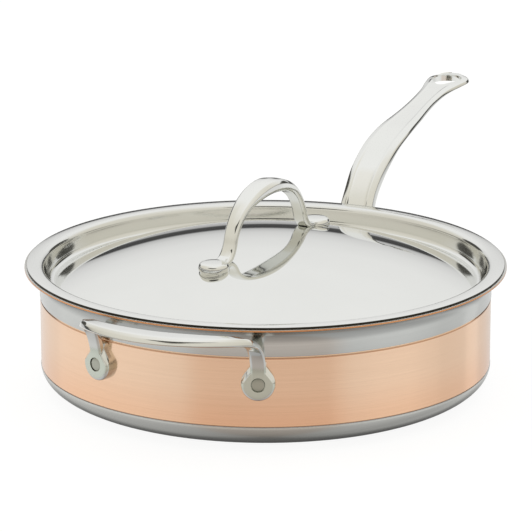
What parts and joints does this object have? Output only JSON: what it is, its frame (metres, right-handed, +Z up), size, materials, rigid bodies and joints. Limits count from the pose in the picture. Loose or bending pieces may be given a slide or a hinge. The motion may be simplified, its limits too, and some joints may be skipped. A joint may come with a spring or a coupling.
{
  "type": "lidded saute pan",
  "caption": "Straight-sided copper-clad saute pan with a long cast handle, a helper handle, and a domed steel lid that lifts off by its arched handle.",
  "frame": {"origin": "on the pan's axis, at the underside of its flat base", "axes": "+X along the long handle, away from the pan; +Z up, along the pan's axis"},
  "size_m": [0.4823, 0.277, 0.1212],
  "materials": {
    "liner_steel": "fine satin, turned rings",
    "core_aluminium": "bonded inside the wall, seen nowhere",
    "copper": "copper, brushed round the pan",
    "band_steel": "satin, brushed round the pan",
    "base_steel": "satin, brushed round the pan",
    "cast_steel": "cast and polished",
    "lid_steel": "mirror polished",
    "rivet_steel": "satin"
  },
  "bodies": {
    "pan": {"inner_steel_liner": "liner_steel", "aluminium_core": "core_aluminium", "copper_ply": "copper", "upper_steel_band": "band_steel", "base_steel_shell": "base_steel", "long_handle": "cast_steel", "long_handle_rivet_1": "rivet_steel", "long_handle_rivet_2": "rivet_steel", "long_handle_rivet_3": "rivet_steel", "helper_handle": "cast_steel", "helper_handle_rivet_1": "rivet_steel", "helper_handle_rivet_2": "rivet_steel"},
    "lid": {"lid_shell": "lid_steel", "lid_handle": "cast_steel", "lid_handle_rivet_1": "rivet_steel", "lid_handle_rivet_2": "rivet_steel"}
  },
  "joints": [
    {"name": "lid_lift", "type": "slide", "parent": "pan", "child": "lid", "axis": [0, 0, 1], "range_m": [0, 0.12]}
  ]
}
